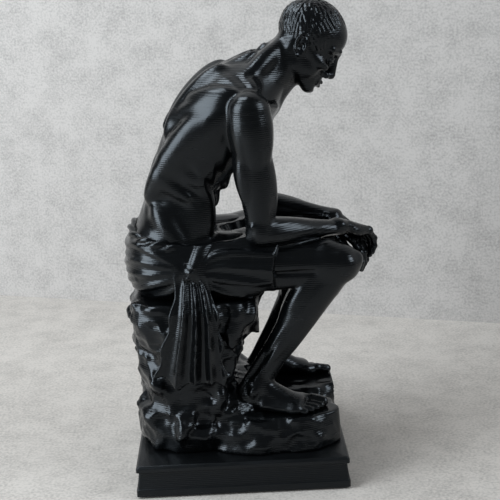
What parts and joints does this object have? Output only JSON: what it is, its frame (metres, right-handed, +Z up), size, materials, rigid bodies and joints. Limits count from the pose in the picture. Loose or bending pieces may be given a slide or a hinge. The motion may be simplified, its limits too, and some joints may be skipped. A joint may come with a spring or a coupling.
{
  "type": "thinker statue",
  "caption": "Small printed statue of a seated man in thought on a boulder, on a square moulded plinth with a felt underside.",
  "frame": {"origin": "centre of the plinth's underside, on the surface that it stands on", "axes": "+Z up, +X the way the figure faces, +Y its left"},
  "size_m": [0.1215, 0.1, 0.2238],
  "materials": {
    "black_pla": "satin",
    "screw_steel": "satin",
    "felt": "matte"
  },
  "bodies": {
    "root": {"plinth": "black_pla", "boulder": "black_pla", "torso": "black_pla", "head": "black_pla", "right_leg": "black_pla", "left_leg": "black_pla", "right_arm": "black_pla", "left_arm": "black_pla", "right_hand": "black_pla", "left_hand": "black_pla", "hip_cloth": "black_pla", "seat_pegs": "black_pla", "hip_pegs": "black_pla", "foot_pegs": "black_pla", "shoulder_pegs": "black_pla", "wrist_pegs": "black_pla", "neck_peg": "black_pla", "plinth_screws": "screw_steel", "felt_sheet": "felt"}
  },
  "joints": []
}
